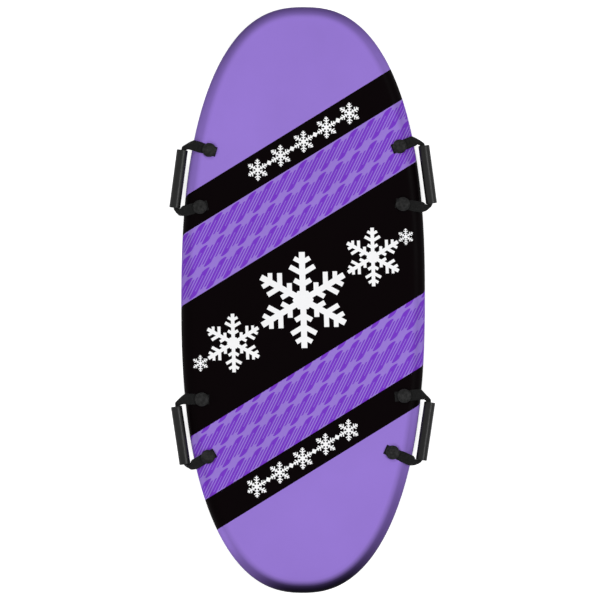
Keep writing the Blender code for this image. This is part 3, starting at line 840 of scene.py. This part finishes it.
def webbing_points(stations):
    """The webbing's surface: closed sections of a rolled band, one at each station.

    A point at the distance s from the crown lies at the angle q = s curl / width, r sin q across and
    r (1 - cos q) down, with r = width / curl. The band is half a thickness thick to either side,
    less towards its two edges, where it falls as a quarter of an ellipse.
    """
    x, y, z, heading, curl, run = stations.T[:, :, None]
    s = -STRAP_WIDTH / 2 * np.cos(np.linspace(0.0, math.pi, STRAP_ACROSS_STEPS + 1))
    past = ((np.abs(s) - STRAP_WIDTH / 2 + SELVEDGE_ROUND) / SELVEDGE_ROUND).clip(0, 1)
    half = STRAP_THICKNESS / 2 * np.sqrt(1 - past**2)
    s = np.concatenate((s, s[-2:0:-1]))
    half = np.concatenate((half, -half[-2:0:-1]))
    q = s * curl / STRAP_WIDTH
    radius = STRAP_WIDTH / curl
    sideways = radius * np.sin(q) + half * np.sin(q)
    upwards = -radius * (1 - np.cos(q)) + half * np.cos(q)
    points = np.stack((x - np.sin(heading) * sideways, y + np.cos(heading) * sideways, z + upwards),
                      axis=-1)
    return points, s, run


def weave_group():
    """A fine herringbone: slanted ribs whose lean swaps from one column of warp to the next."""
    group, inputs, result = start_group("herringbone_weave", ("Across", "Along"), "Height")

    def ridges(value, pitch):
        return math_node(group, "ABSOLUTE", math_node(
            group, "SINE", product(group, value, math.pi / pitch)))

    column = math_node(group, "PINGPONG", inputs["Across"], WARP_COLUMN)
    ribs = ridges(math_node(group, "ADD", inputs["Along"], column), RIB_PITCH)
    columns = math_node(group, "ADD", product(group, ridges(inputs["Across"], WARP_COLUMN), 0.5), 0.5)
    feed(result, {"Height": product(group, ribs, columns)})
    return group


WEAVE = weave_group()
webbing_finish, tree, shader = start_material("black_webbing", roughness=0.85, specular=0.10)
uv = add_node(tree, "ShaderNodeUVMap", uv_map="weave").outputs["UV"]
split = add_node(tree, "ShaderNodeSeparateXYZ", {0: uv}).outputs
weave = add_node(tree, "ShaderNodeGroup", {"Across": split["X"], "Along": split["Y"]},
                 node_tree=WEAVE).outputs["Height"]
fuzz = map_range(tree, noise(tree, uv, WEBBING_FUZZ_PER_METRE, 3.0), *WEBBING_FUZZ_RANGE)
# The weave's crests get painted light and its hollows painted shade, mixed with the fuzz's random tone.
paler = math_node(tree, "ADD", product(tree, weave, WEAVE_SHARE), product(tree, fuzz, 1 - WEAVE_SHARE))
feed(shader, {"Base Color": mix_colour(tree, paler, WEBBING_BLACK, WEBBING_CREST),
              "Roughness": map_range(tree, fuzz, 0.0, 1.0, *WEBBING_ROUGHNESS),
              "Sheen Weight": 0.05, "Sheen Roughness": 0.5})
add_bump(tree, shader, weave, WEAVE_DEPTH)

handles = {}
for joint in frame["joints"]:
    if joint["name"].endswith("_handle_hinge"):
        name = joint["name"].removesuffix("_handle_hinge")
        axis = Vector(joint["axis"])
        handles[name] = {"origin": Vector(joint["pos_m"]), "along": -axis,
                         "outward": (-axis).cross(Vector((0.0, 0.0, 1.0)))}

for name, handle in handles.items():
    to_world = np.array((handle["outward"], handle["along"], (0.0, 0.0, 1.0)))
    origin = np.array(handle["origin"])
    handle["grip"] = box_middle(name + "_grip")
    grip = to_world @ (np.array(handle["grip"]) - origin)
    legs = []
    for end in ("_inner", "_outer"):
        hole = to_world @ (np.array(box_middle(name + end + "_cap")) - origin)
        sign = 1 if hole[1] > 0 else -1
        leg = leg_stations(hole[:2] * (1, sign), grip[0], GRIP_LENGTH / 2 + sign * grip[1],
                           LEGS[name + end])
        leg[:, (1, 3)] *= sign
        legs.append(leg)
    first, second = legs
    second = second[::-1].copy()
    second[:, 3] += math.pi
    through = first[-1] + (second[0] - first[-1]) * np.linspace(0.0, 1.0, STRAP_GRIP_STEPS + 1)[:, None]
    through[:, 3] = first[-1, 3]
    through = through[1:-1]
    second[:, 3] += first[-1, 3] - second[0, 3]
    stations = np.vstack((first, through, second))
    steps = np.linalg.norm(np.diff(stations[:, :3], axis=0), axis=1)
    stations[:, 5] = np.concatenate(([0.0], np.cumsum(steps)))
    points, s, run = webbing_points(stations)
    rows, columns = points.shape[:2]
    points = points.reshape(-1, 3) @ to_world + origin
    faces = grid_faces(rows, columns)
    faces.append(list(range(columns)))
    faces.append(list(range((rows - 1) * columns, rows * columns)))
    strap = make_piece(name + "_webbing", points.tolist(), faces)
    corner = np.empty(len(strap.data.loops), dtype=np.int32)
    strap.data.loops.foreach_get("vertex_index", corner)
    flat_uv = np.stack((np.tile(s, rows), np.repeat(run[:, 0], columns)), axis=1)
    strap.data.uv_layers.new(name="weave").data.foreach_set("uv", flat_uv[corner].ravel())
    strap.data.materials.append(webbing_finish)
    start = handle["origin"] + BEND_START * handle["outward"]
    end = handle["origin"] + BEND_END * handle["outward"]
    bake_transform(strap)
    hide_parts(name + "_strap_loop", name + "_inner_strap_end", name + "_outer_strap_end")


# Buttons: eight domed caps of moulded black plastic, 24 mm across, each with a shallow ring groove
# and a dished middle. A stem under each cap runs down through webbing and foam into its plug, which
# clamps the webbing to the deck.
BUTTON_RADIUS = 0.012
BUTTON_EDGE_HEIGHT = 0.0014
BUTTON_DOME_HEIGHT = 0.0026
BUTTON_DISH_RADIUS = 0.0050
BUTTON_DISH_DEPTH = 0.0009
GROOVE_MIDDLE = 0.0098
GROOVE_HALF_WIDTH = 0.0008
GROOVE_DEPTH = 0.0005
BUTTON_SEAT = 0.0476
STEM_RADIUS = 0.004
STEM_LENGTH = 0.026
STEM_BEVEL = 0.0008
DOME_STEPS = 48
DOME_MARGIN = 0.0004  # from the dome's last ring to the button's full radius
BUTTON_RIM = (  # radius, height, from the dome round to the underside
    (0.01185, 0.0014), (0.01200, 0.0011), (0.01200, 0.0004), (0.01188, 0.0001), (0.0116, 0.0))


def dip(distance, half_width):
    """A smooth dip, cos^2(pi / 2 min(d / w, 1)): 1 at the distance zero and 0 from w on."""
    return np.cos(math.pi / 2 * (distance / half_width).clip(0, 1)) ** 2


radii = np.linspace(0.0, BUTTON_RADIUS - DOME_MARGIN, DOME_STEPS + 1)
dome = BUTTON_EDGE_HEIGHT + BUTTON_DOME_HEIGHT * np.sqrt(1 - (radii / BUTTON_RADIUS) ** 2)
dish = BUTTON_DISH_DEPTH * dip(radii, BUTTON_DISH_RADIUS)
groove = GROOVE_DEPTH * dip(np.abs(radii - GROOVE_MIDDLE), GROOVE_HALF_WIDTH)
button_profile = [
    *zip(radii, dome - dish - groove), *BUTTON_RIM, (STEM_RADIUS, 0.0),
    (STEM_RADIUS, STEM_BEVEL - STEM_LENGTH), (STEM_RADIUS - STEM_BEVEL, -STEM_LENGTH),
    (0.0, -STEM_LENGTH),
]
for node in caps:
    button = turned_piece(node.replace("_cap", "_button"), button_profile,
                          *box_middle(node).xy, BUTTON_SEAT)
    button.data.materials.append(button_finish)
    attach(button, "board")
    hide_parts(node)


# Grips: four tubes of dark grey moulded plastic, 100 mm long and 19 mm across, that turn freely on
# the rolled webbing. Their ends are rounded over, and two faint parting lines of the mould run along
# them.
GRIP_GREY = (0.0045, 0.0045, 0.0045, 1.0)
GRIP_PALE_GREY = (0.0070, 0.0070, 0.0070, 1.0)
GRIP_ROUND_STEPS = 96
GRIP_END_ROUND = 0.0010
GRIP_BORE_ROUND = 0.0006
GRIP_ROUNDING_STEPS = 5
PARTING_HEIGHT = 0.00012
PARTING_HALF_ANGLE = math.radians(2.5)
GRIP_LENGTH_STEPS = 40


def grip_piece(name, middle, along, outward):
    """A tube: a closed wall profile of (radius, place along) carried round the grip's own axis.

    The outer wall's radius falls short of the grip's by the height of a parting line, except at two
    opposite angles, where it rises to the full radius as a narrow bump.
    """
    end = GRIP_LENGTH / 2
    turns = np.linspace(0.0, math.pi / 2, GRIP_ROUNDING_STEPS + 1)
    outer_corner = np.stack((GRIP_DIAMETER / 2 - GRIP_END_ROUND * (1 - np.cos(turns)),
                             end - GRIP_END_ROUND * (1 - np.sin(turns))), axis=1)
    bore_corner = np.stack((GRIP_BORE + GRIP_BORE_ROUND * (1 - np.sin(turns)),
                            end - GRIP_BORE_ROUND * (1 - np.cos(turns))), axis=1)
    top = np.vstack((outer_corner, bore_corner))
    bottom = top[::-1] * (1, -1)
    straight = np.linspace(end - GRIP_END_ROUND, GRIP_END_ROUND - end, GRIP_LENGTH_STEPS + 1)[1:-1]
    outer_wall = np.stack((np.full_like(straight, GRIP_DIAMETER / 2), -straight), axis=1)
    inner_wall = np.stack((np.full_like(straight, GRIP_BORE), straight), axis=1)
    profile = np.vstack((outer_wall, top, inner_wall, bottom))
    angle = np.arange(GRIP_ROUND_STEPS) / GRIP_ROUND_STEPS * 2 * math.pi
    off_line = np.abs((angle + math.pi / 2) % math.pi - math.pi / 2)
    seam = 1 - (off_line / PARTING_HALF_ANGLE).clip(0, 1)
    radius = profile[:, :1] - np.where(profile[:, :1] > GRIP_BORE + GRIP_BORE_ROUND,
                                       PARTING_HEIGHT * (1 - seam), 0.0)
    side = np.array(outward)
    up = np.array((0.0, 0.0, 1.0))
    ring = np.cos(angle)[:, None] * side + np.sin(angle)[:, None] * up
    points = (np.array(middle) + radius[:, :, None] * ring
              + profile[:, 1][:, None, None] * np.array(along))
    rows, columns = points.shape[:2]
    faces = grid_faces(rows, columns)
    last = (rows - 1) * columns
    column = np.arange(columns)
    after = (column + 1) % columns
    faces += np.stack((last + column, last + after, after, column), axis=-1).tolist()
    return make_piece(name, points.reshape(-1, 3).tolist(), faces)


grip_finish = moulded_plastic(
    "dark_grey_grip", GRIP_GREY, GRIP_PALE_GREY, scuffs_per_metre=60.0, roughness=0.36,
    specular=0.22, grain_depth=0.00002)
for name, handle in handles.items():
    tube = grip_piece(name + "_tube", handle["grip"], handle["along"], handle["outward"])
    tube.data.materials.append(grip_finish)
    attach(tube, name + "_grip_tube")
    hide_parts(name + "_grip")


# Studio: a white floor under the board, an even pale surround, a key lamp to the right and three
# weaker soft lamps round the other sides, seen from straight above through a long lens.
FLOOR_SIZE = 12.0
FLOOR_DROP = 0.0005
FLOOR_BOUNCE = (0.40, 0.40, 0.40, 1.0)
FLOOR_WHITE = (0.92, 0.92, 0.92, 1.0)
FLOOR_GLOW = 0.60  # added where the camera sees the floor, so that it shows white
SURROUND_STRENGTH = 0.22
WHITE_LIGHT = (1.0, 1.0, 1.0, 1.0)
KEY_STRENGTH = 1.05
KEY_SOFTNESS = math.radians(18)
FILL_STRENGTH = 0.72
FILL_SOFTNESS = math.radians(30)
IMAGE_WIDTH = 1.0247  # metres across the picture at the deck's height
SENSOR_MM = 36.0
CAMERA_HEIGHT = 12.0
CAMERA_MIDDLE_X = -0.0053
CAMERA_TURN = math.radians(0.15)  # the board lies this far off square in the picture


def ray_masks(tree):
    """Two masks: 1 for camera rays, and 1 for camera, glossy and transmission rays."""
    rays = add_node(tree, "ShaderNodeLightPath").outputs
    from_camera = rays["Is Camera Ray"]
    return from_camera, union(tree, from_camera, rays["Is Glossy Ray"], rays["Is Transmission Ray"])


floor_points = [(x * FLOOR_SIZE / 2, y * FLOOR_SIZE / 2, -FLOOR_DROP)
                for x, y in ((-1, -1), (1, -1), (1, 1), (-1, 1))]
floor = make_piece("studio_floor", floor_points, [(0, 1, 2, 3)])
floor_finish, tree, shader = start_material("white_studio_floor", roughness=0.9, specular=0.1)
from_camera, seen = ray_masks(tree)
feed(shader, {"Base Color": mix_colour(tree, seen, FLOOR_BOUNCE, FLOOR_WHITE),
              "Emission Color": WHITE_LIGHT,
              "Emission Strength": product(tree, from_camera, FLOOR_GLOW)})
floor.data.materials.append(floor_finish)

world = bpy.data.worlds.new("pale_surround")
bpy.context.scene.world = world
world.use_nodes = True
tree = world.node_tree
feed(tree.nodes["Background"], {
    "Color": WHITE_LIGHT,
    "Strength": map_range(tree, ray_masks(tree)[1], 0.0, 1.0, SURROUND_STRENGTH, 1.0)})


def add_sun(name, strength, direction, soft_angle):
    """A soft distant lamp that shines from a direction."""
    lamp = bpy.data.lights.new(name, "SUN")
    lamp.energy = strength
    lamp.angle = soft_angle
    made = bpy.data.objects.new(name, lamp)
    made.rotation_euler = Vector(direction).to_track_quat("Z", "Y").to_euler()
    bpy.context.scene.collection.objects.link(made)
    return made


add_sun("right_key", KEY_STRENGTH, (0.75, 0.0, 1.0), KEY_SOFTNESS)
for name, direction in (("nose_fill", (-0.25, 0.90, 1.0)), ("tail_fill", (-0.25, -0.90, 1.0)),
                        ("left_fill", (-0.95, 0.0, 1.0))):
    fill = add_sun(name, FILL_STRENGTH, direction, FILL_SOFTNESS)
    fill.visible_glossy = False  # only the key lamp leaves a streak on the grips

camera = bpy.data.cameras.new("overhead_camera")
camera.sensor_width = SENSOR_MM
camera.lens = SENSOR_MM * (CAMERA_HEIGHT - BOARD_THICKNESS) / IMAGE_WIDTH
camera_object = bpy.data.objects.new("overhead_camera", camera)
camera_object.location = (CAMERA_MIDDLE_X, 0.0, CAMERA_HEIGHT)
camera_object.rotation_euler = (0.0, 0.0, CAMERA_TURN)
bpy.context.scene.collection.objects.link(camera_object)
bpy.context.scene.camera = camera_object
bpy.context.scene.view_settings.view_transform = "Standard"
